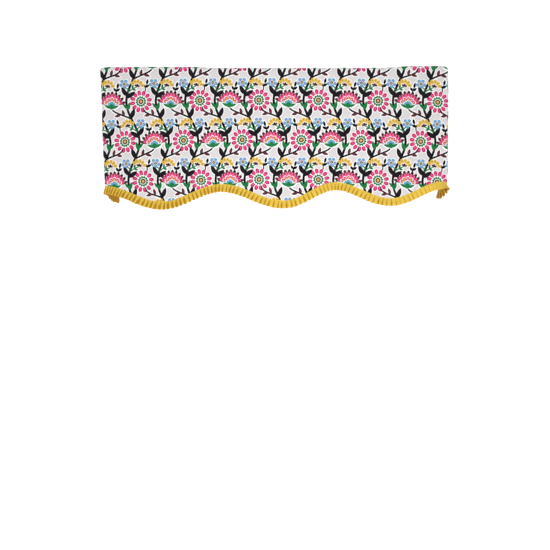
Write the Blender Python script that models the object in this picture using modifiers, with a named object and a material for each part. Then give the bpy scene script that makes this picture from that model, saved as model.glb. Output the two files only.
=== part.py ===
"""A window valance as it hangs: a flat cloth panel with three shallow scallops at its hem, returns that turn
back to the wall at both sides, and a knife-pleated trim sewn in behind the hem.

Metres, +Z up. The origin is the middle of the top edge, the front faces -Y and the wall lies at +Y. A place
on the cloth is given by two numbers: along, the distance along the top edge from its middle (negative to the
left, and on round each corner to the wall), and drop, the distance below the origin.
"""

import math
from collections import namedtuple

import bmesh
import bpy
from mathutils import Vector

# ---- driving dimensions ----
FRONT_WIDTH = 1.155
RETURN_DEPTH = 0.089
CORNER_RADIUS = 0.010
FRONT_SHIFT = -0.0005  # the hang is this far off the middle

CLOTH = 0.0016
HEM_CLOTH = 0.0024  # where the cloth is turned under
TOP_CLOTH = 0.0030
TOP_HEM = 0.040
LOWER_HEM = 0.020
SIDE_HEM = 0.016
TOP_ROLL = 0.0025

TRIM_SHOWN = 0.025
TRIM_TUCKED = 0.008  # behind the hem
TRIM_CLOTH = 0.0012
TRIM_GAP = 0.0005  # between the trim and the inside of the hem
PLEAT_PITCH = 0.0133
PLEAT_HEIGHT = 0.0042

COLUMN_STEP = 0.0135
CORNER_COLUMNS = 6

# ---- derived plan sizes ----
STRAIGHT = FRONT_WIDTH / 2 - CORNER_RADIUS
CORNER_LENGTH = CORNER_RADIUS * math.pi / 2
CORNER = STRAIGHT + CORNER_LENGTH / 2
END = STRAIGHT + CORNER_LENGTH + RETURN_DEPTH - CORNER_RADIUS

# ---- short tables, each read by smooth steps from row to row ----
At = namedtuple("At", "along value")

# How far the cloth's lower edge hangs below the origin.
HEM_DROP = (
    At(along=-END, value=0.389),
    At(along=-END + 0.040, value=0.394),
    At(along=-0.580, value=0.387),
    At(along=-0.376, value=0.440),
    At(along=-0.179, value=0.382),
    At(along=0.030, value=0.4365),
    At(along=0.207, value=0.3765),
    At(along=0.380, value=0.429),
    At(along=0.562, value=0.3745),
    At(along=END - 0.040, value=0.389),
    At(along=END, value=0.377),
)

# How far the top edge stands above the origin: it sags in the middle and dips at the corners.
TOP_RISE = (
    At(along=-END, value=0.0030),
    At(along=-CORNER, value=0.0008),
    At(along=-0.540, value=0.0033),
    At(along=-0.250, value=0.0033),
    At(along=-0.200, value=0.0000),
    At(along=0.340, value=0.0000),
    At(along=0.470, value=0.0062),
    At(along=0.545, value=0.0066),
    At(along=CORNER, value=0.0036),
    At(along=END, value=0.0052),
)

# How far the hem swings out, forward on the front and sideways on the returns.
SWING = (
    At(along=-END, value=-0.0055),
    At(along=-END + 0.035, value=0.0008),
    At(along=-CORNER, value=-0.0010),
    At(along=-0.490, value=0.0030),
    At(along=-0.405, value=0.0002),
    At(along=-0.300, value=0.0052),
    At(along=-0.205, value=0.0012),
    At(along=-0.070, value=0.0058),
    At(along=0.035, value=0.0018),
    At(along=0.150, value=0.0056),
    At(along=0.245, value=0.0010),
    At(along=0.340, value=0.0044),
    At(along=0.430, value=0.0004),
    At(along=0.510, value=0.0026),
    At(along=CORNER, value=-0.0010),
    At(along=END - 0.045, value=-0.0045),
    At(along=END, value=-0.0020),
)

# How far the trim's lower edge kicks out beyond the hem.
FLARE = (
    At(along=-END, value=0.0005),
    At(along=-CORNER - 0.022, value=0.0015),
    At(along=-CORNER, value=0.0028),
    At(along=-CORNER + 0.030, value=0.0008),
    At(along=0.525, value=0.0008),
    At(along=CORNER, value=0.0085),
    At(along=CORNER + 0.022, value=0.0030),
    At(along=END, value=0.0015),
)

# Pleat width and height, as shares of the usual ones. The trim lies unpleated before the right corner.
PLEAT_WIDTH = (
    At(along=-END, value=0.95),
    At(along=-CORNER, value=0.72),
    At(along=-0.520, value=0.80),
    At(along=-0.480, value=1.00),
    At(along=END, value=1.00),
)
PLEAT_SHARE = (
    At(along=-END, value=0.90),
    At(along=0.385, value=1.00),
    At(along=0.430, value=0.62),
    At(along=0.520, value=0.50),
    At(along=0.536, value=0.06),
    At(along=CORNER + 0.004, value=0.06),
    At(along=CORNER + 0.014, value=1.00),
    At(along=END, value=1.00),
)

# How far each side edge moves inwards on the way down.
Side = namedtuple("Side", "drop left right")
SIDE_INSET = (
    Side(drop=0.000, left=0.0000, right=0.0000),
    Side(drop=0.078, left=0.0047, right=-0.0014),
    Side(drop=0.175, left=0.0066, right=-0.0012),
    Side(drop=0.292, left=0.0105, right=-0.0004),
    Side(drop=0.374, left=0.0150, right=0.0010),
    Side(drop=0.480, left=0.0155, right=0.0012),
)
RIGHT_END_PULL = 0.012  # the right return's lower back corner hangs this far short of the wall


def ease(share):
    """A smooth step from 0 to 1, level at both ends."""
    share = min(max(share, 0.0), 1.0)
    return (1 - math.cos(math.pi * share)) / 2


def read(table, along):
    """The table's value at this place, eased from row to row."""
    for before, after in zip(table, table[1:]):
        if along <= after.along:
            share = (along - before.along) / (after.along - before.along)
            return before.value + (after.value - before.value) * ease(share)
    return table[-1].value


def inset(drop, side):
    """How far the left or right edge has moved inwards at this drop."""
    name = "left" if side < 0 else "right"
    for above, below in zip(SIDE_INSET, SIDE_INSET[1:]):
        if drop <= below.drop:
            share = max((drop - above.drop) / (below.drop - above.drop), 0.0)
            high, low = getattr(above, name), getattr(below, name)
            return high + (low - high) * share
    return getattr(SIDE_INSET[-1], name)


def plan(along):
    """The point of the ideal U seen from above, and its outward direction there."""
    side = -1 if along < 0 else 1
    past = abs(along) - STRAIGHT
    if past <= 0:
        return along, 0.0, 0.0, -1.0
    if past <= CORNER_LENGTH:
        turn = past / CORNER_RADIUS
        across = side * (STRAIGHT + CORNER_RADIUS * math.sin(turn))
        return across, CORNER_RADIUS * (1 - math.cos(turn)), side * math.sin(turn), -math.cos(turn)
    return side * FRONT_WIDTH / 2, CORNER_RADIUS + past - CORNER_LENGTH, float(side), 0.0


def top_of(along):
    """The drop of the top edge, with the small unevenness of a hand-turned hem."""
    ripple = 0.0005 * math.sin(along * 61) + 0.0004 * math.sin(along * 137 + 1)
    return -read(TOP_RISE, along) - ripple * min(abs(along) / 0.05, 1)


def hang(along, drop, out=0.0):
    """The place in space of a point of the hanging cloth, this far out in front of its outer face."""
    across, back, out_x, out_y = plan(along)
    side = -1 if along < 0 else 1
    hung = min(max(drop / 0.40, 0.0), 1.1)
    out += read(SWING, along) * hung ** 1.5
    across += out_x * out
    back += out_y * out
    across += FRONT_SHIFT - side * inset(drop, side) * min(abs(along) / STRAIGHT, 1.0)
    if along > CORNER:
        back -= RIGHT_END_PULL * (along - CORNER) / (END - CORNER) * hung ** 2
    return Vector((across, back - TOP_ROLL, -drop))


def panel_columns():
    """The places along the top edge where the cloth bends: even on the flats, closer round the corners."""
    flat = int(STRAIGHT / COLUMN_STEP) + 1
    right = [STRAIGHT * i / flat for i in range(flat + 1)]
    right += [STRAIGHT + CORNER_LENGTH * (i + 1) / CORNER_COLUMNS for i in range(CORNER_COLUMNS)]
    start, steps = right[-1], 6
    right += [start + (END - start) * (i + 1) / steps for i in range(steps)]
    return [-along for along in reversed(right[1:])] + right


def panel_rows(along):
    """(drop, how far the face rolls back, cloth thickness) from the top edge to the hem."""
    top = top_of(along)
    hem = read(HEM_DROP, along)
    rows = []
    for turn in (0, 30, 60, 90):
        angle = math.radians(turn)
        rows.append((top + TOP_ROLL * (1 - math.cos(angle)), TOP_ROLL * (1 - math.sin(angle)), TOP_CLOTH))
    hem_start = hem - LOWER_HEM
    rows.append((top + TOP_HEM - 0.003, 0.0, HEM_CLOTH))
    rows.append((top + TOP_HEM, 0.0, CLOTH))
    for share in (0.24, 0.48, 0.72):
        rows.append((top + TOP_HEM + (hem_start - top - TOP_HEM) * share, 0.0, CLOTH))
    rows.append((hem_start - 0.002, 0.0, CLOTH))
    rows.append((hem_start, 0.0, HEM_CLOTH))
    rows.append((hem - 0.0008, 0.0, HEM_CLOTH))
    rows.append((hem, 0.0008, CLOTH))
    return rows


def material(name, colour, roughness):
    made = bpy.data.materials.new(name)
    made.use_nodes = True
    shader = made.node_tree.nodes["Principled BSDF"]
    shader.inputs["Base Color"].default_value = (*colour, 1)
    shader.inputs["Roughness"].default_value = roughness
    shader.inputs["Metallic"].default_value = 0
    return made


def add_object(name, mesh, collection, surface):
    made = bpy.data.objects.new(name, mesh)
    made.data.materials.append(surface)
    collection.objects.link(made)
    for face in mesh.polygons:
        face.use_smooth = True
    return made


def build_panel(collection):
    """The panel: an open grid bent to the hang, then given its thickness, which is more at the hems."""
    columns = panel_columns()
    rows = [panel_rows(along) for along in columns]
    down = len(rows[0])
    mesh = bpy.data.meshes.new("panel")
    grid = bmesh.new()
    layer = grid.verts.layers.deform.new()
    bmesh.ops.create_grid(grid, x_segments=len(columns) - 1, y_segments=down - 1, size=1)
    order = sorted(grid.verts, key=lambda vertex: (round(vertex.co.x, 5), -round(vertex.co.y, 5)))
    for number, vertex in enumerate(order):
        column, row = divmod(number, down)
        drop, rolled, cloth = rows[column][row]
        side_hem = END - abs(columns[column]) < SIDE_HEM
        thickness = max(cloth, HEM_CLOTH) if side_hem else cloth
        vertex.co = hang(columns[column], drop, -rolled)
        vertex[layer][0] = thickness / TOP_CLOTH
    bmesh.ops.recalc_face_normals(grid, faces=grid.faces)
    middle = min(grid.faces, key=lambda face: (face.calc_center_median() - Vector((0, 0, -0.2))).length)
    if middle.normal.y > 0:
        bmesh.ops.reverse_faces(grid, faces=grid.faces)
    grid.to_mesh(mesh)
    grid.free()
    panel = add_object("panel", mesh, collection, material("panel_cloth", (0.68, 0.65, 0.68), 0.9))
    panel.vertex_groups.new(name="thickness")
    solidify = panel.modifiers.new("cloth", "SOLIDIFY")
    solidify.thickness = TOP_CLOTH
    solidify.offset = -1
    solidify.vertex_group = "thickness"
    solidify.thickness_vertex_group = 0
    return panel


def pleat_starts():
    """The place along the hem where each pleat begins, from the left end to the right one."""
    starts = [-END]
    while starts[-1] < END - 0.6 * PLEAT_PITCH:
        count = len(starts)
        uneven = 1 + 0.09 * math.sin(1.7 * count) + 0.06 * math.sin(4.3 * count + 1)
        starts.append(starts[-1] + PLEAT_PITCH * uneven * read(PLEAT_WIDTH, starts[-1]))
    starts[-1] = END
    return starts


Across = namedtuple("Across", "share outer inner")

# One knife pleat from left to right: it climbs to its free fold, then falls steeply to the next pleat's root.
PLEAT = (
    Across(share=0.00, outer=0.00, inner=0.00),
    Across(share=0.42, outer=0.66, inner=0.22),
    Across(share=0.84, outer=1.00, inner=0.34),
    Across(share=0.95, outer=0.84, inner=0.20),
)

Down = namedtuple("Down", "below opened flared")

# The trim from its tucked edge to its free one: how far below the hem, how far open, how far flared.
TRIM_ROWS = (
    Down(below=-TRIM_TUCKED, opened=0.06, flared=0.0),
    Down(below=0.002, opened=0.12, flared=0.0),
    Down(below=TRIM_SHOWN, opened=1.00, flared=1.0),
)


def trim_ring(along, profile):
    """The trim's closed cross-section at one place: down its outer face and up its inner one."""
    hem = read(HEM_DROP, along)
    height = PLEAT_HEIGHT * read(PLEAT_SHARE, along)
    root = -HEM_CLOTH - TRIM_GAP - 0.12 * PLEAT_HEIGHT
    outer, inner = [], []
    for row in TRIM_ROWS:
        eased = row.flared * (0.0012 + read(FLARE, along))
        base = root + eased
        drop = hem + row.below
        if row.flared:
            drop += 0.0010 * profile.outer
        outer.append(hang(along, drop, base + height * row.opened * profile.outer))
        inner.append(hang(along, drop, base - TRIM_CLOTH + height * row.opened * profile.inner))
    return outer + inner[::-1]


def build_trim(collection):
    """The pleated trim: a loft through one closed cross-section for each bend of each pleat."""
    rings = []
    starts = pleat_starts()
    for start, end in zip(starts, starts[1:]):
        for profile in PLEAT:
            rings.append(trim_ring(start + (end - start) * profile.share, profile))
    rings.append(trim_ring(END, PLEAT[0]))
    mesh = bpy.data.meshes.new("pleated_trim")
    loft = bmesh.new()
    rows = [[loft.verts.new(point) for point in ring] for ring in rings]
    for near, far in zip(rows, rows[1:]):
        for i in range(len(near)):
            j = (i + 1) % len(near)
            loft.faces.new((near[i], far[i], far[j], near[j]))
    loft.faces.new(rows[0])
    loft.faces.new(rows[-1][::-1])
    bmesh.ops.recalc_face_normals(loft, faces=loft.faces)
    loft.to_mesh(mesh)
    loft.free()
    return add_object("pleated_trim", mesh, collection, material("trim_cloth", (0.75, 0.45, 0.03), 0.8))


def main():
    for left_over in list(bpy.data.objects):
        bpy.data.objects.remove(left_over)
    collection = bpy.data.collections.new("window_valance")
    bpy.context.scene.collection.children.link(collection)
    build_panel(collection)
    build_trim(collection)


main()
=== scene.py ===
"""The looks of a window valance: a printed cotton panel with three shallow scallops, its hems and their
stitches, and a knife-pleated golden trim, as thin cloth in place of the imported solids.

Metres, +Z up, in the frame of the solids: the origin is the middle of the top edge, the front faces -Y and
the wall lies at +Y. A place on the cloth is given by two numbers: along, the distance from the middle along
the top edge (negative to the left, and on round each corner to the wall), and drop, the distance below the
origin. The print alone is drawn in millimetres, on the flat cloth.
"""

from collections import namedtuple
from itertools import product
from math import atan, ceil, cos, degrees, pi, radians, sin

import bpy
import numpy as np
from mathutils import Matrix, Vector
from mathutils.bvhtree import BVHTree
from mathutils.geometry import delaunay_2d_cdt


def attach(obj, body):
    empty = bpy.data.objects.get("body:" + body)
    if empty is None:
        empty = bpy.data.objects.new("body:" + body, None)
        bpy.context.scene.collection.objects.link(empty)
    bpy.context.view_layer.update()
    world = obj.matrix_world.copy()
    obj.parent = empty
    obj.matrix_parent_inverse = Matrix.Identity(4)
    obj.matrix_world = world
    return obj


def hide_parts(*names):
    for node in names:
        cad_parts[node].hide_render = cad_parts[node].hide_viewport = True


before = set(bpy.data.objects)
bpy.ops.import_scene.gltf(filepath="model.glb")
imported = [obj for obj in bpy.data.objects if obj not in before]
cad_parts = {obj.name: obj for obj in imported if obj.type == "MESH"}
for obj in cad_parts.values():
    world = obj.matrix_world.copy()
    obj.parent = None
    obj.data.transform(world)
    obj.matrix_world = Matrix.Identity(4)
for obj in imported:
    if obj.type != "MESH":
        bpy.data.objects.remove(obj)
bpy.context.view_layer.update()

# ---- the hang of the cloth ----
# These are the sizes and tables of the solids, apart from a few millimetres at the top edge, at the right end
# of the hem and in the trim, where the thin cloth follows the photo more closely.
FRONT_WIDTH = 1.155
RETURN_DEPTH = 0.089
CORNER_RADIUS = 0.010
FRONT_SHIFT = -0.0005  # the hang is this far off the middle
FACE = 0.0025  # the front's outer face lies this far in front of the crest of the top edge

TRIM_SHOWN = 0.0262
TRIM_TUCKED = 0.008  # behind the hem
PLEAT_PITCH = 0.0133
PLEAT_HEIGHT = 0.0056  # from the deepest fold to the crest

# ---- derived plan sizes ----
STRAIGHT = FRONT_WIDTH / 2 - CORNER_RADIUS
CORNER_LENGTH = CORNER_RADIUS * pi / 2
CORNER = STRAIGHT + CORNER_LENGTH / 2
END = STRAIGHT + CORNER_LENGTH + RETURN_DEPTH - CORNER_RADIUS

# ---- short tables of (along, value), each read by smooth steps from row to row ----
# How far the cloth's lower edge hangs below the origin.
HEM_DROP = (
    (-END, 0.389),
    (-END + 0.040, 0.394),
    (-0.580, 0.387),
    (-0.376, 0.440),
    (-0.179, 0.382),
    (0.030, 0.4365),
    (0.207, 0.3765),
    (0.380, 0.429),
    (0.562, 0.3732),
    (END - 0.040, 0.389),
    (END, 0.3745),
)

# How far the top edge stands above the origin: it sags in the middle and dips at the corners.
TOP_RISE = (
    (-END, 0.0060),
    (-CORNER, 0.0038),
    (-0.540, 0.0067),
    (-0.250, 0.0067),
    (-0.200, 0.0034),
    (0.340, 0.0034),
    (0.470, 0.0096),
    (0.545, 0.0100),
    (CORNER, 0.0068),
    (END, 0.0082),
)

# How far the hem swings out, forward on the front and sideways on the returns.
SWING = (
    (-END, -0.0055),
    (-END + 0.035, 0.0008),
    (-CORNER, -0.0010),
    (-0.490, 0.0030),
    (-0.405, 0.0002),
    (-0.300, 0.0052),
    (-0.205, 0.0012),
    (-0.070, 0.0058),
    (0.035, 0.0018),
    (0.150, 0.0056),
    (0.245, 0.0010),
    (0.340, 0.0044),
    (0.430, 0.0004),
    (0.510, 0.0026),
    (CORNER, -0.0010),
    (END - 0.045, -0.0045),
    (END, -0.0020),
)

# How far the trim's lower edge kicks out beyond the hem.
FLARE = (
    (-END, 0.0005),
    (-CORNER - 0.050, -0.0045),
    (-CORNER - 0.022, -0.0060),
    (-CORNER, 0.0010),
    (-CORNER + 0.030, 0.0008),
    (0.525, 0.0008),
    (CORNER, 0.0150),
    (CORNER + 0.016, 0.0002),
    (END, 0.0008),
)

# Pleat width and height, as shares of the usual ones. The trim lies unpleated before the right corner.
PLEAT_WIDTH = (
    (-END, 0.95),
    (-CORNER, 0.72),
    (-0.520, 0.80),
    (-0.480, 1.00),
    (END, 1.00),
)
PLEAT_SHARE = (
    (-END, 1.05),
    (-0.450, 1.20),
    (-0.220, 1.02),
    (0.100, 0.86),
    (0.330, 0.76),
    (0.430, 0.62),
    (0.520, 0.50),
    (0.536, 0.06),
    (CORNER + 0.004, 0.06),
    (CORNER + 0.014, 0.62),
    (END, 0.62),
)

# How far each side edge moves inwards on the way down: (drop, left, right).
SIDE_INSET = (
    (0.000, 0.0000, 0.0000),
    (0.078, 0.0047, -0.0014),
    (0.175, 0.0066, -0.0012),
    (0.292, 0.0105, -0.0004),
    (0.374, 0.0150, 0.0010),
    (0.480, 0.0155, 0.0012),
)
RIGHT_END_PULL = 0.012  # the right return's lower back corner hangs this far short of the wall

# The swing and the pull grow from nothing at the origin to their full size at this drop, and a little beyond.
FULL_SWING = 0.40
MOST_SWING = 1.1
SWING_CURVE = 1.5

# Sine waves are (height, frequency, start).
TOP_RIPPLE = ((0.0005, 61, 0), (0.0004, 137, 1))  # the small unevenness of a hand-turned hem
RIPPLE_CLEAR = 0.05  # it fades out nearer to the middle than this


def ease(share):
    """A smooth step from 0 to 1, level at both ends."""
    return (1 - np.cos(np.pi * np.clip(share, 0, 1))) / 2


def read(table, along):
    """The table's value at each of these places, eased from row to row."""
    at, value = np.array(table).T
    row = np.clip(np.searchsorted(at, along, side="right") - 1, 0, len(at) - 2)
    share = (along - at[row]) / (at[row + 1] - at[row])
    return value[row] + (value[row + 1] - value[row]) * ease(share)


def rippled(at, waves):
    """The sum of these sine waves at each of these places."""
    return sum(height * np.sin(at * often + start) for height, often, start in waves)


def inset(drop, side):
    """How far the left or right edge has moved inwards at this drop."""
    at, left, right = np.array(SIDE_INSET).T
    return np.where(side < 0, np.interp(drop, at, left), np.interp(drop, at, right))


def plan(along):
    """The point of the ideal U seen from above, and its outward direction there."""
    side = np.where(along < 0, -1.0, 1.0)
    past = np.abs(along) - STRAIGHT
    turn = np.clip(past, 0, CORNER_LENGTH) / CORNER_RADIUS
    across = side * (np.minimum(np.abs(along), STRAIGHT) + CORNER_RADIUS * np.sin(turn))
    back = CORNER_RADIUS * (1 - np.cos(turn)) + np.maximum(past - CORNER_LENGTH, 0)
    return across, back, side * np.sin(turn), -np.cos(turn)


def top_of(along):
    """The drop of the top edge."""
    return -read(TOP_RISE, along) - rippled(along, TOP_RIPPLE) * np.minimum(np.abs(along) / RIPPLE_CLEAR, 1)


def hang(along, drop, out):
    """The places in space of points of the hanging cloth, this far out in front of its outer face."""
    across, back, out_x, out_y = plan(along)
    side = np.where(along < 0, -1.0, 1.0)
    hung = np.clip(drop / FULL_SWING, 0, MOST_SWING)
    out = out + read(SWING, along) * hung ** SWING_CURVE
    across = across + out_x * out + FRONT_SHIFT
    across -= side * inset(drop, side) * np.minimum(np.abs(along) / STRAIGHT, 1.0)
    pull = RIGHT_END_PULL * np.clip((along - CORNER) / (END - CORNER), 0, 1) * hung ** 2
    return np.stack([across, back + out_y * out - FACE - pull, -drop], axis=-1)


# ---- the print: a repeat of climbing vines, drawn flat in millimetres with simple outlines ----
MM = 0.001
REPEAT_WIDE = 196.0
REPEAT_TALL = 263.0
REPEAT_SHIFT = (20.0, -40.0)  # where one repeat's corner lies from the origin
VINE_SWAY = 21.0
VINE_WIDE = 8.0
EDGE = 2.8  # the white edge round a motif
RIB = 1.1  # the line down the middle of a leaf
PRINT_BOW = 8.0  # the rows of motifs sit this much higher in the middle than at the corners
GROUND, HALO, NAVY, BROWN, MAGENTA, PINK, GREEN, MUSTARD, SKY, VIOLET = range(10)
RIB_COLOURS = {NAVY: BROWN, BROWN: MAGENTA, GREEN: NAVY}
LARGE_MARK = 110.0  # square millimetres: smaller marks don't show on the back of the cloth
PRINT_LOW, PRINT_HIGH = -500.0, 25.0  # the print is laid out between these heights, past the cloth's edges
PRINT_OVER = 5.0  # and this far past its sides and its hem


def ahead(root, turn, length):
    """The point a length away from root. A turn of 0 is straight up, and it grows anticlockwise."""
    angle = radians(turn)
    return root[0] - length * sin(angle), root[1] + length * cos(angle)


def placed(outline, root, turn):
    """An outline drawn upwards from the origin, moved to root and turned."""
    across, up = cos(radians(turn)), sin(radians(turn))
    return [(root[0] + across * x - up * y, root[1] + up * x + across * y) for x, y in outline]


def leaf(root, turn, length, width, thin, steps):
    """A pointed leaf or petal from root. Thin under 1 rounds its sides, and over 1 draws in its ends."""
    shares = [i / steps for i in range(1, steps)]
    side = [(width / 2 * sin(pi * s ** 0.9) ** thin, length * s) for s in shares]
    return placed([(0, 0)] + side + [(0, length)] + [(-x, y) for x, y in reversed(side)], root, turn)


def disc(root, radius, sides):
    return [ahead(root, 360 * i / sides, radius) for i in range(sides)]


def scallops(root, turn, count, low, high, steps, spread=360, power=0.6):
    """The wavy outline of petals side by side, all the way round or over a spread either side of turn."""
    whole = spread >= 360
    total = count * steps
    outline = []
    for i in range(total if whole else total + 1):
        reach = low + (high - low) * abs(sin(pi * i / steps)) ** power
        outline.append(ahead(root, turn - spread / 2 + spread * i / total, reach))
    return outline if whole else outline + [root]


def smooth(points, between):
    """Points on one smooth line through the given ones."""
    points = np.array([points[0], *points, points[-1]])
    t = np.arange(between)[:, None] / between
    weights = (
        (-t + 2 * t ** 2 - t ** 3) / 2,
        (2 - 5 * t ** 2 + 3 * t ** 3) / 2,
        (t + 4 * t ** 2 - 3 * t ** 3) / 2,
        (t ** 3 - t ** 2) / 2,
    )
    near = zip(points, points[1:], points[2:], points[3:])
    spans = [sum(w * p for w, p in zip(weights, four)) for four in near]
    return np.concatenate(spans + [points[-1:]])


def stroke(line, start, end):
    """The outline of a line that has this width at its start and that at its end."""
    step = np.gradient(line, axis=0)
    half = np.linspace(start, end, len(line)) / 2 / np.linalg.norm(step, axis=1)
    aside = np.stack([step[:, 1] * half, -step[:, 0] * half], axis=-1)
    return np.concatenate([line + aside, (line - aside)[::-1]])


def edged_stroke(line, colour, start, end):
    edge = stroke(line, start + 2 * EDGE, end + 2 * EDGE)
    return [(0, HALO, edge), (1.5, colour, stroke(line, start, end))]


# Each motif is a list of (level, colour, outline), and a higher level is printed over a lower one.
def ruffs(root, turn, rows):
    """Scalloped outlines round one another. Each row is a level, a colour and what scallops() is given."""
    return [(level, colour, scallops(root, turn, *shape)) for level, colour, *shape in rows]


def fan(level, colour, root, first, step, count, out, *shape):
    """Leaves or petals at even turns from the first on, this far out from root."""
    turns = [first + step * i for i in range(count)]
    return [(level, colour, leaf(ahead(root, turn, out), turn, *shape)) for turn in turns]


def daisy(root, turn):
    art = ruffs(root, turn, (
        (0, HALO, 12, 31, 40, 5),
        (1, MAGENTA, 12, 25, 37.5, 7),
        (5, GREEN, 12, 14.0, 18.6, 4, 360, 0.8),
        (8, MUSTARD, 6, 2.6, 5.2, 4),
    ))
    art += [(4, HALO, disc(root, 20.6, 24)), (6, HALO, disc(root, 10.6, 16)), (7, BROWN, disc(root, 8.6, 16))]
    art += fan(3, PINK, root, turn + 15, 30, 12, 21.5, 11, 3.8, 0.8, 4)
    return art + fan(3, HALO, root, turn, 30, 12, 17, 14.5, 2.6, 1.0, 2)


def carnation(root, turn):
    """A flower seen from the side: a fan of toothed petals over its calyx."""
    art = ruffs(root, turn, (
        (0, HALO, 9, 42, 49.5, 5, 176),
        (1, BROWN, 9, 36, 47, 6, 166, 0.7),
        (2, PINK, 9, 28, 38.5, 6, 158, 0.7),
        (3, HALO, 5, 21.5, 28, 6, 164),
        (4, MAGENTA, 5, 19, 25.6, 6, 158),
        (6, HALO, 3, 13.0, 16.0, 6, 200),
        (7, SKY, 3, 11.0, 13.8, 6, 192),
    ))
    art += fan(3, MAGENTA, root, turn - 70, 20, 8, 27.5, 9, 3.0, 0.9, 2)
    art += fan(5, MUSTARD, root, turn - 64, 32, 5, 13, 10, 4.8, 0.8, 4)
    foot = ahead(root, turn, -14)
    art.append((6, HALO, leaf(ahead(foot, turn, -2.5), turn, 25, 22, 0.7, 4)))
    art.append((9, GREEN, leaf(foot, turn, 20, 18, 0.7, 6)))
    for side in (-66, 66):
        art.append((0, HALO, leaf(ahead(foot, turn, 1), turn + side, 31, 13.5, 0.8, 3)))
        art.append((9, GREEN, leaf(ahead(foot, turn, 4), turn + side, 27, 9, 0.9, 6)))
    return art


def blossom(root, turn):
    art = ruffs(root, turn, ((0, HALO, 5, 11.5, 19.4, 5), (2, SKY, 5, 7.5, 16.8, 8, 360, 0.5)))
    art += [(4, HALO, disc(root, 6.4, 14)), (5, BROWN, disc(root, 5.0, 14)), (6, MUSTARD, disc(root, 2.4, 8))]
    return art + fan(3, VIOLET, root, turn - 144, 72, 5, 5.5, 8.6, 4.6, 0.8, 4)


def stalk(points, colour=NAVY, start=6.4, end=5.2, between=3):
    return edged_stroke(smooth(points, between), colour, start, end)


def edged_leaf(root, turn, length, width, colour, steps=7):
    edge = leaf(ahead(root, turn, -EDGE), turn, length + 2.4 * EDGE, width + 2 * EDGE, 0.75, 4)
    return [(0, HALO, edge), (2, colour, leaf(root, turn, length, width, 0.85, steps))]


def ribbed_leaf(root, turn, length, width, colour):
    rib = leaf(ahead(root, turn, length * 0.14), turn, length * 0.66, RIB, 1, 2)
    return edged_leaf(root, turn, length, width, colour) + [(3, RIB_COLOURS[colour], rib)]


def spray(root, turn, lean):
    """Three small dark leaves on a thin stalk."""
    bends = [root, ahead(root, turn - 10 * lean, 12), ahead(root, turn, 22)]
    art = stalk(bends, NAVY, 4.4, 4.0, 1)
    for start, away, length in ((bends[1], 40 * lean, 17), (bends[1], -46 * lean, 15), (bends[2], 0, 20)):
        art += edged_leaf(start, turn + away, length, 8.5, NAVY, 5)
    return art


def marigold(root, turn):
    """A golden flower seen from the side, in a brown cup."""
    art = ruffs(root, turn, (
        (0, HALO, 5, 22, 28.5, 5, 176),
        (3, MUSTARD, 5, 19.5, 26, 7, 164),
        (4, HALO, 3, 9.0, 12.4, 4, 176),
        (5, BROWN, 3, 7.0, 10.2, 5, 176),
    ))
    return art + fan(4, BROWN, root, turn - 64, 32, 5, 15.5, 6, 2.2, 0.9, 2)


def sprig(root, turn, lean):
    """A marigold on a green stalk with a pair of small leaves."""
    bends = [root, ahead(root, turn + 4 * lean, 18), ahead(root, turn, 36)]
    art = stalk(bends, GREEN, 4.4, 3.6)
    for side, length in ((1, 17), (-1, 14)):
        art += ribbed_leaf(bends[1], turn + 46 * side * lean, length, 7, GREEN)
    return art + marigold(bends[2], turn + 48 * lean)


def vine_at(lane, y):
    """The point of a vine at this height. Neighbouring lanes carry different flowers."""
    return lane * REPEAT_WIDE / 2 + VINE_SWAY * sin(2 * pi * y / REPEAT_TALL), y


def vine_turn(y):
    slope = VINE_SWAY * 2 * pi / REPEAT_TALL * cos(2 * pi * y / REPEAT_TALL)
    return -degrees(atan(slope))


# The leaves on a stretch of vine: (how far past its bend, on which side, how far turned away, length, width,
# colour).
VINE_LEAVES = (
    (-56, -1, 44, 36, 15, NAVY),
    (-30, -1, 30, 30, 11, GREEN),
    (-24, 1, 24, 25, 9, GREEN),
    (18, 1, 40, 36, 15, NAVY),
    (12, -1, 46, 37, 15, NAVY),
)


def stretch(lane, bend, lean, flower):
    """What one vine carries on its way up to a bend: a large flower and a marigold on the side to which it
    leans, a small blossom on the other, and leaves on both."""

    def grow(rise, side, away):
        return vine_at(lane, bend + rise), vine_turn(bend + rise) - side * away

    heart = (vine_at(lane, bend)[0] + lean * REPEAT_WIDE / 4, bend)
    root, turn = grow(-64, lean, 14)
    if flower is daisy:
        stem = [root, ahead(root, turn, 14), (heart[0] - lean * 14, heart[1] - 35), heart]
    else:
        heart = (heart[0], heart[1] - 11)
        foot = ahead(heart, -4 * lean, -12)
        stem = [root, ahead(root, turn, 12), (foot[0] - lean * 12, foot[1] - 11), foot]
    art = stalk(stem) + flower(heart, 4 * lean) + spray(ahead(heart, 24 * lean, 37), 14 * lean, lean)
    for share, side in ((0.40, 1), (0.62, -1)):
        place = [a + (b - a) * share for a, b in zip(stem[1], stem[2])]
        art += ribbed_leaf(place, -lean * (62 - 44 * side), 23, 10, BROWN)
    art += sprig(*grow(-100, lean, 42), lean)
    root, turn = grow(-92, -lean, 58)
    tip = ahead(root, turn, 24)
    art += stalk([root, ahead(root, turn + 14 * lean, 10), tip], GREEN, 4.4, 3.6)
    art += blossom(tip, turn)
    for rise, side, away, *shape in VINE_LEAVES:
        art += ribbed_leaf(*grow(rise, side * lean, away), *shape)
    return art


def one_repeat():
    """Every outline of one repeat of the print, from the lowest level to the highest."""
    art = []
    for lane, flower in enumerate((daisy, carnation)):
        line = [vine_at(lane, REPEAT_TALL * i / 16) for i in range(17)]
        art += edged_stroke(line, NAVY, VINE_WIDE, VINE_WIDE)
        art += stretch(lane, REPEAT_TALL / 4, 1, flower)
        art += stretch(lane, REPEAT_TALL * 3 / 4, -1, flower)
    return sorted(art, key=lambda row: row[0])


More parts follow.
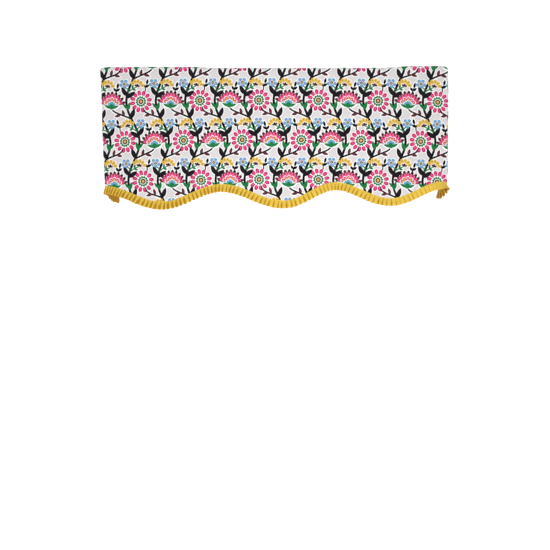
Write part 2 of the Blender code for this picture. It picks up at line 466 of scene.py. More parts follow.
def soaks_through(level, outline):
    """Whether an outline is seen on the back too, where the pale edges and the small marks are not."""
    x, y = np.array(outline).T
    area = abs(x @ np.roll(y, 1) - y @ np.roll(x, 1)) / 2
    return level > 0 and area > LARGE_MARK


def print_on_cloth(behind):
    """(colour, outline) of every motif that touches the cloth, in millimetres of its flat sheet."""
    reach = END / MM + PRINT_OVER
    found = []
    columns = range(int(-reach // REPEAT_WIDE) - 1, ceil(reach / REPEAT_WIDE) + 1)
    rows = range(int(PRINT_LOW // REPEAT_TALL) - 1, ceil(PRINT_HIGH / REPEAT_TALL) + 1)
    for level, colour, outline in one_repeat():
        if behind and not soaks_through(level, outline):
            continue
        for column, row in product(columns, rows):
            shape = np.array(outline)
            x, y = shape.T
            x += column * REPEAT_WIDE + REPEAT_SHIFT[0]
            y += row * REPEAT_TALL + REPEAT_SHIFT[1]
            y -= PRINT_BOW * (x * MM / CORNER) ** 2
            lowest = -read(HEM_DROP, np.clip(x * MM, -END, END)) / MM - PRINT_OVER
            if x.max() > -reach and x.min() < reach and y.min() < PRINT_HIGH and (y > lowest).any():
                found.append((colour, shape))
    return found


# ---- the panel: one thin sheet, turned under at its edges ----
CLOTH = 0.0005
HEM_CLOTH = 0.0014  # three layers
TOP_HEM = 0.040
LOWER_HEM = 0.020
SIDE_HEM = 0.016
TOP_DEPTH = 0.0056  # across the top hem, whose two layers stand apart down to TOP_OPEN below the edge
TOP_OPEN = 0.006
TOP_CLOSES = 0.028  # they close over this much more
TOP_FOOT = 0.0012  # across both, at their stitched foot
FACE_ROLL = (0.0048, 0.0100)  # at the top edge the face curves this far back, from this far below
BACK_ROLL = (0.0006, 0.0006)  # and the back this far forward
ROLL_FOOT = max(FACE_ROLL[1], BACK_ROLL[1])
FOLD_ROLL = 0.0007  # a folded edge is rounded off over this width
FOLD_EDGE = 0.0003  # and is this thick at its very edge
STEP = 0.0007  # the width of the step from a hem down to the single cloth

GRID = 0.010  # between the plain points of the sheet's face
BACK_GRID = 0.013
ROW_APART = 0.9  # from row to row, as a share of that
GRID_TOP, GRID_FOOT = 0.004, 0.440  # the drops between which the rows lie
GRID_MARGIN = 0.003  # from them to the sheet's edges
EDGE_GRID = 0.005  # between the points along the edges and the lines
ROLL_TURNS = (20, 42, 65, 90)  # the degrees round a rolled edge at which the sheet bends
FOLD_SHARES = (0.3, 1)  # the same across a folded edge
JOIN = 0.0001  # millimetres: points of the flat sheet closer than this are one
INSIDE_FACES = 1  # the cut keeps the triangles inside the given faces


def from_edges(along, drop):
    """How far points of the cloth lie below its top edge and above its lower one."""
    return drop - top_of(along), read(HEM_DROP, along) - drop


def sewn_depth(along, below, above_hem):
    """The cloth's thickness, this far below the top edge and above the lower one."""
    top = TOP_FOOT + (TOP_DEPTH - TOP_FOOT) * ease(1 - (below - TOP_OPEN) / TOP_CLOSES)
    top = CLOTH + (top - CLOTH) * np.clip((TOP_HEM - below) / STEP, 0, 1)
    inside = np.maximum(above_hem - LOWER_HEM, -STEP), np.maximum(END - np.abs(along) - SIDE_HEM, -STEP)
    turned = CLOTH + (HEM_CLOTH - CLOTH) * np.clip(-np.minimum(*inside) / STEP, 0, 1)
    return np.maximum(top, turned)


def rolled(below, roll):
    """How far a face of the cloth has rolled back from its plane at the top edge."""
    depth, height = roll
    share = np.clip(1 - below / height, 0, 1)
    return depth * (1 - np.sqrt(1 - share ** 2))


def panel_place(along, drop, behind):
    """The places of points of the sheet's face, or of its back where behind is 1."""
    below, above_hem = from_edges(along, drop)
    face = rolled(below, FACE_ROLL)
    back = sewn_depth(along, below, above_hem) - rolled(below, BACK_ROLL)
    half = (back - face) / 2
    inside = np.clip(np.minimum(above_hem, END - np.abs(along)) / FOLD_ROLL, 0, 1)
    full = np.sqrt(1 - (1 - inside) ** 2)
    pinched = np.where(half > FOLD_EDGE / 2, FOLD_EDGE / 2 + (half - FOLD_EDGE / 2) * full, half)
    depth = (face + back) / 2 + np.where(behind > 0, pinched, -pinched)
    return hang(along, drop, soft_creases(along, drop) - depth)


# Soft troughs and ridges in the cloth: (along and drop of the middle, lean, length, width, rise).
CREASES = (
    (-0.505, 0.20, -6, 0.30, 0.030, -0.0010),
    (-0.430, 0.30, 10, 0.22, 0.026, 0.0009),
    (-0.335, 0.13, -14, 0.20, 0.024, -0.0008),
    (-0.215, 0.26, 8, 0.24, 0.028, -0.0010),
    (-0.090, 0.11, -9, 0.17, 0.022, 0.0007),
    (0.010, 0.31, 5, 0.21, 0.030, -0.0009),
    (0.125, 0.18, 12, 0.22, 0.025, 0.0008),
    (0.240, 0.27, -7, 0.20, 0.026, -0.0010),
    (0.330, 0.12, 16, 0.18, 0.022, -0.0007),
    (0.455, 0.23, -11, 0.26, 0.028, 0.0010),
    (0.535, 0.30, 4, 0.24, 0.024, -0.0008),
    (0.620, 0.22, -5, 0.26, 0.022, 0.0012),
    (-0.622, 0.20, 7, 0.28, 0.024, -0.0012),
)
PUCKER = 0.00035  # the lower edge puckers this much where the trim is sewn on
PUCKER_TALL = 0.022
PUCKER_WAVES = ((1, 2 * pi / (1.9 * PLEAT_PITCH), 0), (0.6, 2 * pi / 0.041, 1))


def soft_creases(along, drop):
    """How far the creases and the puckered seam lift the cloth out of its smooth hang."""
    lift = np.zeros_like(along)
    for middle, height, lean, length, width, rise in CREASES:
        turn, across, down = radians(lean), along - middle, drop - height
        off = across * cos(turn) - down * sin(turn)
        run = across * sin(turn) + down * cos(turn)
        lift += rise * np.exp(-(off / width * 2) ** 2 - (run / length * 2) ** 2)
    _, above_hem = from_edges(along, drop)
    near_seam = np.clip(1 - above_hem / PUCKER_TALL, 0, 1)
    return lift + PUCKER * rippled(along, PUCKER_WAVES) * near_seam ** 1.5


def even(start, end, step):
    """Evenly spaced places from start to end, about a step apart."""
    return np.linspace(start, end, max(int(abs(end - start) / step), 1) + 1)


def flat_outline():
    """The sheet's edge on the flat, in millimetres: down its left side, along its hem, up and back."""
    along = even(-END, END, EDGE_GRID)
    left = even(top_of(-END), read(HEM_DROP, -END), EDGE_GRID)
    right = even(read(HEM_DROP, END), top_of(END), EDGE_GRID)
    edges = (
        (np.full_like(left, -END), left),
        (along, read(HEM_DROP, along)),
        (np.full_like(right, END), right),
        (along[::-1], top_of(along[::-1])),
    )
    return np.concatenate([np.stack([x, -drop], axis=-1)[:-1] for x, drop in edges]) / MM


def flat_lines(behind):
    """Lines of points that the sheet's mesh follows, where it rolls, folds or steps."""
    along = even(-END + FOLD_ROLL, END - FOLD_ROLL, EDGE_GRID)
    _, height = BACK_ROLL if behind else FACE_ROLL
    from_top = [height * (1 - cos(radians(turn))) for turn in ROLL_TURNS]
    from_hem = [FOLD_ROLL * share for share in FOLD_SHARES]
    from_side = list(from_hem)
    if behind:
        from_top += [TOP_HEM - STEP, TOP_HEM]
        from_hem += [LOWER_HEM, LOWER_HEM + STEP]
        from_side += [SIDE_HEM, SIDE_HEM + STEP]
    lines = [(along, top_of(along) + below) for below in from_top]
    lines += [(along, read(HEM_DROP, along) - above) for above in from_hem]
    for side, inside in product((-1, 1), from_side):
        drop = even(top_of(side * END) + ROLL_FOOT, read(HEM_DROP, side * END) - FOLD_ROLL, EDGE_GRID)
        lines.append((np.full_like(drop, side * (END - inside)), drop))
    return [np.stack([x, -drop], axis=-1) / MM for x, drop in lines]


def flat_grid(step):
    """Points all over the sheet, every other row half a step along, so that it bends evenly."""
    points = []
    for row, drop in enumerate(np.arange(GRID_TOP, GRID_FOOT, step * ROW_APART)):
        along = np.arange(-END + step * (0.5 + row % 2 / 2), END, step)
        keep = np.minimum(*from_edges(along, drop)) > GRID_MARGIN
        points.append(np.stack([along[keep], np.full(keep.sum(), -drop)], axis=-1))
    return np.concatenate(points) / MM


def colour_areas(behind):
    """The flat sheet cut up along every outline of its print: (points, triangles, the colour of each)."""
    art = print_on_cloth(behind)
    points, faces = [], []
    for shape in [flat_outline()] + [shape for _, shape in art]:
        faces.append(list(range(len(points), len(points) + len(shape))))
        points.extend(Vector(place) for place in shape)
    cut = delaunay_2d_cdt(points, [], faces, INSIDE_FACES, JOIN, True)
    colours = [GROUND] + [colour for colour, _ in art]
    kept = [(face, colours[max(owner)]) for face, owner in zip(cut[2], cut[5]) if 0 in owner]
    return cut[0], [face for face, _ in kept], [colour for _, colour in kept]


def sides_of(triangles, colours):
    """Each directed edge of the triangles, with the colour on its left."""
    sides = {}
    for (a, b, c), colour in zip(triangles, colours):
        sides.update({(a, b): colour, (b, c): colour, (c, a): colour})
    return sides


def flat_sheet(behind, step):
    """The flat sheet in few triangles, for its print and its bends: (points, triangles, colours)."""
    points, areas, area_colours = colour_areas(behind)
    sides = sides_of(areas, area_colours)
    seen = [(a, b) for (a, b), colour in sides.items() if sides.get((b, a)) != colour]
    used, seen = np.unique(seen, return_inverse=True)
    places = [Vector(place) for place in flat_outline()]
    whole = [list(range(len(places)))]
    edges = [(len(places) + int(a), len(places) + int(b)) for a, b in seen.reshape(-1, 2)]
    places.extend(points[i] for i in used)
    for line in flat_lines(behind):
        edges.extend((i, i + 1) for i in range(len(places), len(places) + len(line) - 1))
        places.extend(Vector(place) for place in line)
    places.extend(Vector(place) for place in flat_grid(step))
    places, _, triangles, _, _, owners = delaunay_2d_cdt(places, edges, whole, INSIDE_FACES, JOIN, True)
    triangles = [face for face, owner in zip(triangles, owners) if owner]

    under = BVHTree.FromPolygons([point.to_3d() for point in points], areas)
    middles = (sum((places[i] for i in face), Vector((0, 0))) / 3 for face in triangles)
    colours = [area_colours[under.find_nearest(middle.to_3d())[2]] for middle in middles]
    used, triangles = np.unique(triangles, return_inverse=True)
    return np.array([tuple(places[i]) for i in used]), triangles.reshape(-1, 3).tolist(), colours


def rim_of(points, triangles, colours):
    """The sheet's edge as (point, colour beside it) in order, from the corner at the top of the left side."""
    sides = sides_of(triangles, colours)
    following = {a: (b, colour) for (a, b), colour in sides.items() if (b, a) not in sides}
    corner = np.array([-END, -top_of(-END)]) / MM
    here = min(following, key=lambda i: abs(points[i] - corner).sum())
    rim = []
    for _ in range(len(following)):
        after, colour = following[here]
        rim.append((here, colour))
        here = after
    return rim


def along_rim(points, rim):
    """How far round the edge each of its points lies, as a share of the whole."""
    places = points[[i for i, _ in rim]]
    steps = np.linalg.norm(np.roll(places, -1, axis=0) - places, axis=1)
    return np.concatenate([[0], np.cumsum(steps)]) / steps.sum()


def edge_faces(front, back, front_at, back_at):
    """Triangles that close the edge between the face's rim and the back's, with the face's colours."""
    faces, colours = [], []
    i = j = 0
    while i < len(front) or j < len(back):
        here, colour = front[i % len(front)]
        there = back[j % len(back)][0]
        if j == len(back) or (i < len(front) and front_at[i + 1] <= back_at[j + 1]):
            i += 1
            faces.append((front[i % len(front)][0], here, there))
        else:
            j += 1
            faces.append((here, there, back[j % len(back)][0]))
        colours.append(colour)
    return faces, colours


MAP_EDGE = 0.012  # metres of cloth, and the whole map is 1 m across
MAP_ABOVE = 0.012  # the map starts this far above the origin
BACK_ON_MAP = 0.64  # the back's scale on the map, where it stands on its side
SECOND_ROW = 0.490
BACK_COLUMN = 0.695


def panel_map(along, drop, behind, middle):
    """Where the panel's faces lie on its texture map: the two halves of the face, then the back."""
    down = drop + MAP_ABOVE
    right = middle > 0
    face_u = np.where(right, along, along + END) + MAP_EDGE
    face_v = 1 - down - np.where(right, SECOND_ROW, 0)
    back_u = BACK_COLUMN + down * BACK_ON_MAP
    back_v = MAP_EDGE + (along + END) * BACK_ON_MAP
    return np.where(behind, back_u, face_u), np.where(behind, back_v, face_v)


def add_object(name, data):
    made = bpy.data.objects.new(name, data)
    bpy.context.scene.collection.objects.link(made)
    return made


def add_mesh(name, points, faces, materials, colours=None):
    mesh = bpy.data.meshes.new(name)
    mesh.from_pydata([tuple(p) for p in points], [], faces)
    for surface in materials:
        mesh.materials.append(surface)
    if colours is not None:
        mesh.polygons.foreach_set("material_index", colours)
    mesh.polygons.foreach_set("use_smooth", [True] * len(faces))
    return add_object(name, mesh)


def add_map(made, name, u, v):
    made.data.uv_layers.new(name=name).data.foreach_set("uv", np.stack([u, v], axis=-1).ravel())


def build_panel():
    """The printed panel: its face cut up along the print, a plainer back, and the edge between them."""
    front, front_faces, front_colours = flat_sheet(False, GRID)
    back, back_faces, back_colours = flat_sheet(True, BACK_GRID)
    front_rim = rim_of(front, front_faces, front_colours)
    back_rim = rim_of(back, back_faces, back_colours)
    shift = len(front)
    moved_rim = [(i + shift, colour) for i, colour in back_rim]
    rims_at = along_rim(front, front_rim), along_rim(back, back_rim)
    edge, edge_colours = edge_faces(front_rim, moved_rim, *rims_at)
    flat = np.concatenate([front, back]) * MM
    along, drop = flat[:, 0], -flat[:, 1]
    behind = np.arange(len(flat)) >= shift

    back_faces = [(c + shift, b + shift, a + shift) for a, b, c in back_faces]
    faces = front_faces + back_faces + edge
    middles = flat[np.array(back_faces)].mean(axis=1)
    turned = hem_folded(middles[:, 0], -middles[:, 1])
    back_colours = np.array(back_colours) + np.where(turned, 0, len(PRINT_COLOURS))
    colours = np.concatenate([front_colours, back_colours, edge_colours]).astype(int)
    made = add_mesh("printed_panel", panel_place(along, drop, behind), faces, print_materials(), colours)

    corner = np.array(faces).ravel()
    middle = np.repeat(flat[np.array(faces)].mean(axis=1)[:, 0], 3)
    on_back = np.repeat([False, True, False], [3 * len(part) for part in (front_faces, back_faces, edge)])
    add_map(made, CLOTH_MAP, along[corner], -drop[corner])
    add_map(made, BAKE_MAP, *panel_map(along[corner], drop[corner], on_back, middle))
    return made


def hem_folded(along, drop):
    """Whether the back shows the cloth's printed side here, turned under in a hem."""
    below, above_hem = from_edges(along, drop)
    return (below < TOP_HEM) | (above_hem < LOWER_HEM) | (END - np.abs(along) < SIDE_HEM)


# ---- the trim: one long strip folded into knife pleats ----
TRIM_CLOTH = 0.00032
TRIM_LAYER = 0.00044  # from layer to layer where the pleats are pressed flat
TRIM_BEHIND = 0.0026  # the pressed strip's back lies this far behind the panel's face
HEIGHT_UNEVEN = 0.20
GAP_UNEVEN = 0.40
LENGTH_UNEVEN = 0.0005
LEAN_UNEVEN = 0.0007
UNPLEATED = 0.35  # below this share of the usual pleat height the strip opens out flat
GAP_SHARE = 0.38  # at its foot each pleat stands this share of its width clear of the next
SWUNG_BACK = 0.40  # and its root swings back by this share of its height
END_SLANT = 0.030  # the right end is turned under on a slant, this much more at its top
SLOPE_STEP = 0.002  # the hem's slope is taken this far to each side
FLARE_CURVE = 1.6
LAST_PLEAT = 0.6  # no pleat starts nearer to the end than this share of the pitch
PLEAT_RIPPLE = ((0.09, 1.7, 0), (0.06, 4.3, 1))  # how much wider or narrower each pleat is
BACK_ON_CLOTH = 0.05  # the strip's back starts this far above its face on their cloth map

# One knife pleat, from its root under the last pleat to its own free fold and back beneath that: (share of
# its width, share of its height, layer, whether it is inside a fold).
FOLDS = (
    (-0.42, 0.00, 0.5, True),
    (-0.37, 0.00, 0.0, True),
    (-0.18, 0.01, 0.0, True),
    (0.00, 0.04, 0.0, True),
    (0.07, 0.24, 0.3, False),
    (0.18, 0.54, 1.0, False),
    (0.36, 0.78, 1.9, False),
    (0.60, 0.93, 2.0, False),
    (0.82, 1.00, 2.0, False),
    (0.95, 0.95, 1.9, False),
    (1.00, 0.82, 1.5, True),
    (0.97, 0.66, 1.1, True),
    (0.88, 0.40, 1.0, True),
    (0.76, 0.16, 1.0, True),
    (0.64, 0.03, 1.0, True),
)
# The strip's material slots: its right side, the inside of its folds and its reverse; the last two are
# painted darker gold as shade.
RIGHT_SIDE, SHADED_FOLD, SHADED_REVERSE = range(3)
FIRST_SHOWN = 3  # the first pleat starts here, with nothing to lie under

PRESSED = 0.02  # the pleats open this little above the seam
OPENS_AT = -0.003  # and start to open here, counted down from the hem
OPENS_OVER = 0.021
KICK = 0.0012  # the free edge stands this much further out
CREST_LONGER = 0.0010  # and a pleat's crest reaches this much lower

TRIM_ROWS = (-TRIM_TUCKED, -0.003, 0.001, 0.004, 0.008, 0.012, 0.016, 0.020, 0.0235, TRIM_SHOWN)


def pleat_starts():
    """The place along the hem where each pleat begins, from the left end to the right one."""
    starts = [-END]
    while starts[-1] < END - LAST_PLEAT * PLEAT_PITCH:
        uneven = 1 + rippled(len(starts), PLEAT_RIPPLE)
        starts.append(starts[-1] + PLEAT_PITCH * uneven * read(PLEAT_WIDTH, starts[-1]))
    starts[-1] = END
    return starts


Bend = namedtuple("Bend", "start reach gap tall back layer longer lean inner")


def strip_bends():
    """Each bend of the pleated strip, as arrays: the start of its pleat, how far from there it lies, how much
    of that its gap takes away lower down, its height and layer, and its unevenness."""
    uneven = np.random.default_rng(7)
    rows = []
    starts = pleat_starts()
    for number, (start, end) in enumerate(zip(starts, starts[1:])):
        taller, longer, leaning, wider = uneven.uniform(-1, 1, 4)
        raised = read(PLEAT_SHARE, (start + end) / 2)
        folded = min(raised / UNPLEATED, 1.0)
        widest = GAP_SHARE * (1 + GAP_UNEVEN * wider) * (end - start) * raised
        shown = FOLDS[FIRST_SHOWN:] if number == 0 else FOLDS
        for step, (share, height, layer, inner) in enumerate(shown):
            reach = (end - start) * (share * folded + step / len(shown) * (1 - folded))
            gap = widest * max(share, 0)
            tall = height * raised * (1 + HEIGHT_UNEVEN * taller)
            back = SWUNG_BACK * raised
            lean = leaning * height
            rows.append((start, reach, gap, tall, back, layer * folded, longer, lean, inner and folded == 1))
    rows.append((END, 0, 0, 0, 0, 0, 0, 0, False))
    return Bend(*np.array(rows).T)


def trim_points(bend):
    """The strip's two faces, each as rows of places from its tucked edge down to its free one."""
    place = np.clip(bend.start + bend.reach, -END, END)
    hem, flare = read(HEM_DROP, place), read(FLARE, place)
    slope = (read(HEM_DROP, place + SLOPE_STEP) - read(HEM_DROP, place - SLOPE_STEP)) / (2 * SLOPE_STEP)
    square = 1 / np.hypot(1, slope)
    faces = ([], [])
    for below in TRIM_ROWS:
        opened = PRESSED + (1 - PRESSED) * ease((below - OPENS_AT) / OPENS_OVER)
        flared = max(below, 0) / TRIM_SHOWN
        last = END - END_SLANT * (1 - flared)
        along = bend.start + bend.reach - bend.gap * opened + LEAN_UNEVEN * bend.lean * opened
        along = np.clip(along - slope * square * below, -END, last)
        out = -TRIM_BEHIND + bend.layer * TRIM_LAYER + PLEAT_HEIGHT * opened * (bend.tall - bend.back)
        out = out + flared ** FLARE_CURVE * (KICK + flare)
        step_along, step_out = np.gradient(along), np.gradient(out)
        size = np.maximum(np.hypot(step_along, step_out), 1e-9)
        longer = flared * (LENGTH_UNEVEN * bend.longer + CREST_LONGER * bend.tall)
        drop = hem + square * (below + longer)
        for face, half in zip(faces, (TRIM_CLOTH / 2, -TRIM_CLOTH / 2)):
            away_along, away_out = -step_out / size * half, step_along / size * half
            face.append(hang(np.clip(along + away_along, -END, last), drop, out + away_out))
    return np.array(faces)


def strip_faces(inner, rows):
    """The strip's faces and their materials, from the ring of points at each bend, with both ends closed."""
    around = 2 * rows
    faces, sides = [], []
    for column in range(len(inner) - 1):
        here, there = column * around, (column + 1) * around
        outside = SHADED_FOLD if inner[column] else RIGHT_SIDE
        for i in range(around):
            j = (i + 1) % around
            faces.append((here + i, here + j, there + j, there + i))
            sides.append(outside if i < rows else SHADED_REVERSE)
    last = (len(inner) - 1) * around
    for i in range(rows - 1):
        faces.append((i, around - 1 - i, around - 2 - i, i + 1))
        faces.append((last + i + 1, last + around - 2 - i, last + around - 1 - i, last + i))
        sides += [RIGHT_SIDE, RIGHT_SIDE]
    return faces, sides


def build_trim():
    bend = strip_bends()
    outer, inner = trim_points(bend)
    rows, columns = outer.shape[:2]
    ring = np.concatenate([outer, inner[::-1]])  # down the outer face and up the inner one
    points = ring.transpose(1, 0, 2).reshape(-1, 3)
    faces, sides = strip_faces(bend.inner, rows)
    made = add_mesh("knife_pleated_trim", points, faces, golden_cottons(), sides)
    length = np.concatenate([[0], np.cumsum(np.linalg.norm(np.diff(outer[-1], axis=0), axis=1))])
    down = np.array(TRIM_ROWS)
    u = np.repeat(length, 2 * rows)
    v = np.tile(np.concatenate([down, down[::-1] - BACK_ON_CLOTH]), columns)
    corner = np.array(faces).ravel()
    add_map(made, CLOTH_MAP, u[corner], -v[corner])
    return made


# ---- the hem stitches, which show on the back alone ----
STITCH_LONG = 0.0026
STITCH_PITCH = 0.0036
THREAD = 0.00034
STITCH_SIDES = 5
STITCH_RINGS = ((0.22, 0.8), (0.5, 1.0), (0.78, 0.8))  # how far along each ring lies, and its share of THREAD
TOP_STITCHED, LOWER_STITCHED, SIDE_STITCHED = 0.0022, 0.0020, 0.0018  # from each hem's inner edge
ROW_STARTS = 0.004  # from the sheet's sides, or from the top hem
ROW_ENDS = 0.003  # from the lower hem
ACROSS_CLOTH = Vector((0, 1, 0.01))


def stitch_rows():
    """Each row of stitches: places along and down the panel's back, as evenly spaced as they are sewn."""
    along = even(-END + ROW_STARTS, END - ROW_STARTS, STITCH_PITCH)
    rows = [
        (along, top_of(along) + TOP_HEM - TOP_STITCHED),
        (along, read(HEM_DROP, along) - LOWER_HEM + LOWER_STITCHED),
    ]
    for side in (-1, 1):
        foot = read(HEM_DROP, side * END) - LOWER_HEM - ROW_ENDS
        drop = even(TOP_HEM + ROW_STARTS, foot, STITCH_PITCH)
        rows.append((np.full_like(drop, side * (END - SIDE_HEM + SIDE_STITCHED)), drop))
    return rows


def stitch_ends(along, drop):
    """Where each stitch of a row starts and ends, on the cloth's back."""
    step_along, step_drop = np.gradient(along), np.gradient(drop)
    size = np.hypot(step_along, step_drop)
    ends = []
    for reach in (-STITCH_LONG / 2, STITCH_LONG / 2):
        ends.append(panel_place(along + step_along / size * reach, drop + step_drop / size * reach, 1))
    return zip(*ends)


def spindle_points(first, last):
    """The points of one stitch: its first tip, its rings and its last tip."""
    run = Vector(last - first).normalized()
    side = run.cross(ACROSS_CLOTH).normalized()
    out = side.cross(run)
    points = [Vector(first)]
    for share, fat in STITCH_RINGS:
        centre = Vector(first).lerp(Vector(last), share)
        for i in range(STITCH_SIDES):
            angle = 2 * pi * i / STITCH_SIDES
            points.append(centre + (out * cos(angle) + side * sin(angle)) * (THREAD / 2 * fat))
    return points + [Vector(last)]


def spindle_faces(start):
    """The faces of one stitch, whose points are numbered from start."""
    sides = STITCH_SIDES
    last = start + 1 + len(STITCH_RINGS) * sides
    faces = []
    for i in range(sides):
        j = (i + 1) % sides
        faces.append((start, start + 1 + j, start + 1 + i))
        for low in range(start + 1, last - sides, sides):
            faces.append((low + i, low + j, low + sides + j, low + sides + i))
        faces.append((last, last - sides + i, last - sides + j))
    return faces


def build_stitches():
    """Every stitch is a short spindle of thread that lies on the cloth and dips into it at both ends."""
    points, faces = [], []
    for row in stitch_rows():
        for first, last in stitch_ends(*row):
            faces += spindle_faces(len(points))
            points += spindle_points(first, last)
    thread = cotton("hem_thread", THREAD_COLOUR, SEWING_THREAD, relief=0.00003, uneven=0.05)
    return add_mesh("hem_stitches", points, faces, [thread])


# ---- materials ----
CLOTH_MAP = "cloth"  # metres on the flat cloth
BAKE_MAP = "OFBake"
WAVE_LENGTH = pi / 10  # the length of one band of a wave texture at scale 1
WANDER = 0.6  # how far the threads stray
BROAD_TONE = 22.0  # the scales of the noises that vary the tone: over the cloth, and from thread to thread
SLUBS = 640.0
NOISE_DETAIL = 3.0
SLUB_RELIEF = 1.5  # against that of the threads
ROUGH_SPAN = 0.06
BUMP_STRENGTH = 0.6
SHEEN_ROUGHNESS = 0.5
SPECULAR = 0.15

# The print's inks and the plain ground, in the order of their numbers above, as 8-bit sRGB.
PRINT_COLOURS = (
    ("ground", (216, 211, 212)),
    ("halo", (252, 250, 249)),
    ("navy", (15, 12, 22)),
    ("brown", (72, 36, 37)),
    ("magenta", (196, 48, 110)),
    ("pink", (238, 92, 142)),
    ("green", (30, 122, 66)),
    ("mustard", (222, 184, 84)),
    ("sky", (98, 165, 196)),
    ("violet", (150, 140, 205)),
)
BACK_GROUND = (222, 217, 217)
SHOWN_THROUGH = 0.34  # how much of each ink shows on the back
GOLD = (233, 196, 75)
# painted shade: the faces inside the pleats' folds take this darker gold
GOLD_FOLD_SHADE = (200, 153, 39)
# painted shade: the strip's reverse, seen on the returns' inner faces, takes this darker gold
GOLD_REVERSE_SHADE = (186, 142, 36)
THREAD_COLOUR = (214, 208, 208)
PRINT_THREAD = 0.00055  # from thread to thread of the printed cloth, of the trim and of the sewing thread
GOLD_THREAD = 0.00050
SEWING_THREAD = 0.00012


def linear(colour):
    """The scene's own values for an 8-bit sRGB colour."""
    shares = [value / 255 for value in colour]
    return [s / 12.92 if s <= 0.04045 else ((s + 0.055) / 1.055) ** 2.4 for s in shares]


class Nodes:
    """Adds nodes to a tree, and links or sets their inputs."""

    def __init__(self, tree):
        self.tree = tree

    def feed(self, node, inputs):
        for name, value in inputs.items():
            if isinstance(value, bpy.types.NodeSocket):
                self.tree.links.new(value, node.inputs[name])
            else:
                node.inputs[name].default_value = value

    def add(self, kind, inputs, **settings):
        node = self.tree.nodes.new(kind)
        for name, value in settings.items():
            setattr(node, name, value)
        self.feed(node, inputs)
        return node

    def math(self, operation, first, second):
        return self.add("ShaderNodeMath", {0: first, 1: second}, operation=operation).outputs[0]


def woven(nodes, thread):
    """The height of the threads, and the noises over the cloth and from thread to thread."""
    place = nodes.add("ShaderNodeUVMap", {}, uv_map=CLOTH_MAP).outputs["UV"]
    bands = {"Vector": place, "Scale": WAVE_LENGTH / thread, "Distortion": WANDER, "Detail": 1.0}
    waves, noises = [], []
    for way in "XY":
        wave = nodes.add("ShaderNodeTexWave", bands, wave_type="BANDS", bands_direction=way)
        waves.append(wave.outputs["Fac"])
    for scale in (BROAD_TONE, SLUBS):
        noise = nodes.add("ShaderNodeTexNoise", {"Vector": place, "Scale": scale, "Detail": NOISE_DETAIL})
        noises.append(noise.outputs["Fac"])
    return nodes.math("MAXIMUM", *waves), *noises


def cotton(name, colour, thread, relief, uneven, sheen=0.04, roughness=0.86):
    """A plain-weave cotton: its threads this far apart and in this relief, its tone this uneven."""
    surface = bpy.data.materials.new(name)
    surface.use_nodes = True
    nodes = Nodes(surface.node_tree)
    weave, broad, slubs = woven(nodes, thread)
    tone = nodes.math("MULTIPLY", nodes.math("ADD", broad, slubs), 0.5)
    dark, light = (
        [min(value * (1 + shift), 1) for value in linear(colour)] + [1]
        for shift in (-2 * uneven, 2 * uneven)
    )
    mixed = nodes.add("ShaderNodeMix", {"Factor": tone, "A": dark, "B": light}, data_type="RGBA")
    span = {"Value": slubs, "To Min": roughness - ROUGH_SPAN, "To Max": roughness + ROUGH_SPAN}
    rough = nodes.add("ShaderNodeMapRange", span)
    height = nodes.math("ADD", weave, nodes.math("MULTIPLY", slubs, SLUB_RELIEF))
    bump = nodes.add("ShaderNodeBump", {"Height": height, "Distance": relief, "Strength": BUMP_STRENGTH})
    nodes.feed(surface.node_tree.nodes["Principled BSDF"], {
        "Base Color": mixed.outputs["Result"],
        "Roughness": rough.outputs["Result"],
        "Normal": bump.outputs["Normal"],
        "Sheen Weight": sheen,
        "Sheen Roughness": SHEEN_ROUGHNESS,
        "Specular IOR Level": SPECULAR,
    })
    return surface


def print_materials():
    """The ground and the inks as the face shows them, then as they show through on the back."""
    face, back = [], []
    for name, colour in PRINT_COLOURS:
        face.append(cotton("print_" + name, colour, PRINT_THREAD, relief=0.00006, uneven=0.035))
        faded = [b + (c - b) * SHOWN_THROUGH for b, c in zip(BACK_GROUND, colour)]
        back.append(cotton("back_" + name, faded, PRINT_THREAD, relief=0.00008, uneven=0.045, roughness=0.92))
    return face + back


def golden_cottons():
    """The strip's right side, its pressed folds painted a darker gold as their shade, and its rougher reverse
    painted darker still as shade.
    """
    made = (GOLD_THREAD, 0.00010)
    return [
        cotton("golden_cotton", GOLD, *made, uneven=0.08, sheen=0.1, roughness=0.78),
        cotton("golden_cotton_fold_painted_shade", GOLD_FOLD_SHADE, *made, uneven=0.06, roughness=0.85),
        cotton("golden_cotton_reverse_painted_shade", GOLD_REVERSE_SHADE, *made, uneven=0.07, roughness=0.9),
    ]


# ---- camera, light and floor ----
PICTURE = 550  # pixels each way
FOCAL = 310  # in pixels
HORIZON = 305.5  # pixels down from the picture's top
EYE = (0.0030, -1.0235, -0.782)
SENSOR = 36.0  # millimetres

WORLD_LIGHT = 0.26
BACKDROP_LIGHT = 3.0
Softbox = namedtuple("Softbox", "name place target size watts")
SOFTBOXES = (
    Softbox("left_softbox", (-3.1, -2.6, -0.2), (0, 0, -0.30), 0.8, 22),
    Softbox("right_softbox", (2.9, -2.6, -0.2), (0, 0, -0.30), 0.8, 14),
    Softbox("front_softbox", (0.06, -1.0, -0.42), (0.06, 0, -0.28), 0.5, 4.15),
)


def add_camera():
    data = bpy.data.cameras.new("camera")
    data.sensor_width = SENSOR
    data.lens = SENSOR * FOCAL / PICTURE
    data.shift_y = (HORIZON - PICTURE / 2) / PICTURE
    camera = add_object("camera", data)
    camera.location = EYE
    camera.rotation_euler = (radians(90), 0, 0)
    bpy.context.scene.camera = camera


def add_light(name, kind, power, direction):
    data = bpy.data.lights.new(name, kind)
    data.energy = power
    light = add_object(name, data)
    light.rotation_euler = direction.to_track_quat("-Z", "Y").to_euler()
    return light


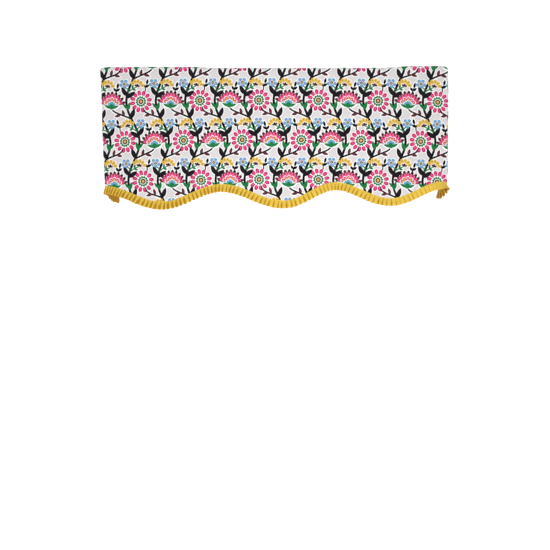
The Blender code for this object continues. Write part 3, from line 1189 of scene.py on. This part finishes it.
def add_lights(backdrop):
    """Three softboxes, and an even light for the backdrop alone, which the valance doesn't shade."""
    for box in SOFTBOXES:
        softbox = add_light(box.name, "AREA", box.watts, Vector(box.target) - Vector(box.place))
        softbox.location = box.place
        softbox.data.size = box.size
    sun = add_light("backdrop_light", "SUN", BACKDROP_LIGHT, Vector((0, 1, -1)))
    sun.light_linking.receiver_collection = backdrop
    sun.light_linking.blocker_collection = backdrop


def set_world():
    world = bpy.data.worlds.new("pale_room")
    world.use_nodes = True
    background = world.node_tree.nodes["Background"]
    background.inputs["Color"].default_value = (1, 1, 1, 1)
    background.inputs["Strength"].default_value = WORLD_LIGHT
    bpy.context.scene.world = world
    bpy.context.scene.view_settings.view_transform = "Standard"


FLOOR = -1.80
WALL = 3.2
COVE = 1.2
ROOM_HALF_WIDTH = 14.0
ROOM_HEIGHT = 8.0
ROOM_FRONT = -12.0
PAINT = (0.9, 0.9, 0.9, 1)
PAINT_ROUGHNESS = 0.9


def add_room():
    """A pale floor that curves up into a pale backdrop far behind the valance, in a collection of its own."""
    profile = [(ROOM_FRONT, FLOOR)]
    for turn in range(0, 91, 10):
        angle = radians(turn)
        profile.append((WALL - COVE + COVE * sin(angle), FLOOR + COVE * (1 - cos(angle))))
    profile.append((WALL, ROOM_HEIGHT))
    points = [(side * ROOM_HALF_WIDTH, y, z) for y, z in profile for side in (-1, 1)]
    faces = [(2 * i, 2 * i + 1, 2 * i + 3, 2 * i + 2) for i in range(len(profile) - 1)]
    paint = bpy.data.materials.new("pale_floor")
    paint.use_nodes = True
    shader = paint.node_tree.nodes["Principled BSDF"]
    shader.inputs["Base Color"].default_value = PAINT
    shader.inputs["Roughness"].default_value = PAINT_ROUGHNESS
    floor = add_mesh("floor", points, faces, [paint])
    backdrop = bpy.data.collections.new("backdrop")
    backdrop.objects.link(floor)
    return backdrop


def main():
    add_camera()
    set_world()
    add_lights(add_room())
    panel, trim, stitches = build_panel(), build_trim(), build_stitches()
    for piece, node, slot in ((panel, "panel", "printed_cloth"), (trim, "pleated_trim", "trim_cloth")):
        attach(piece, "root")
        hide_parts(node)
    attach(stitches, "root")


main()
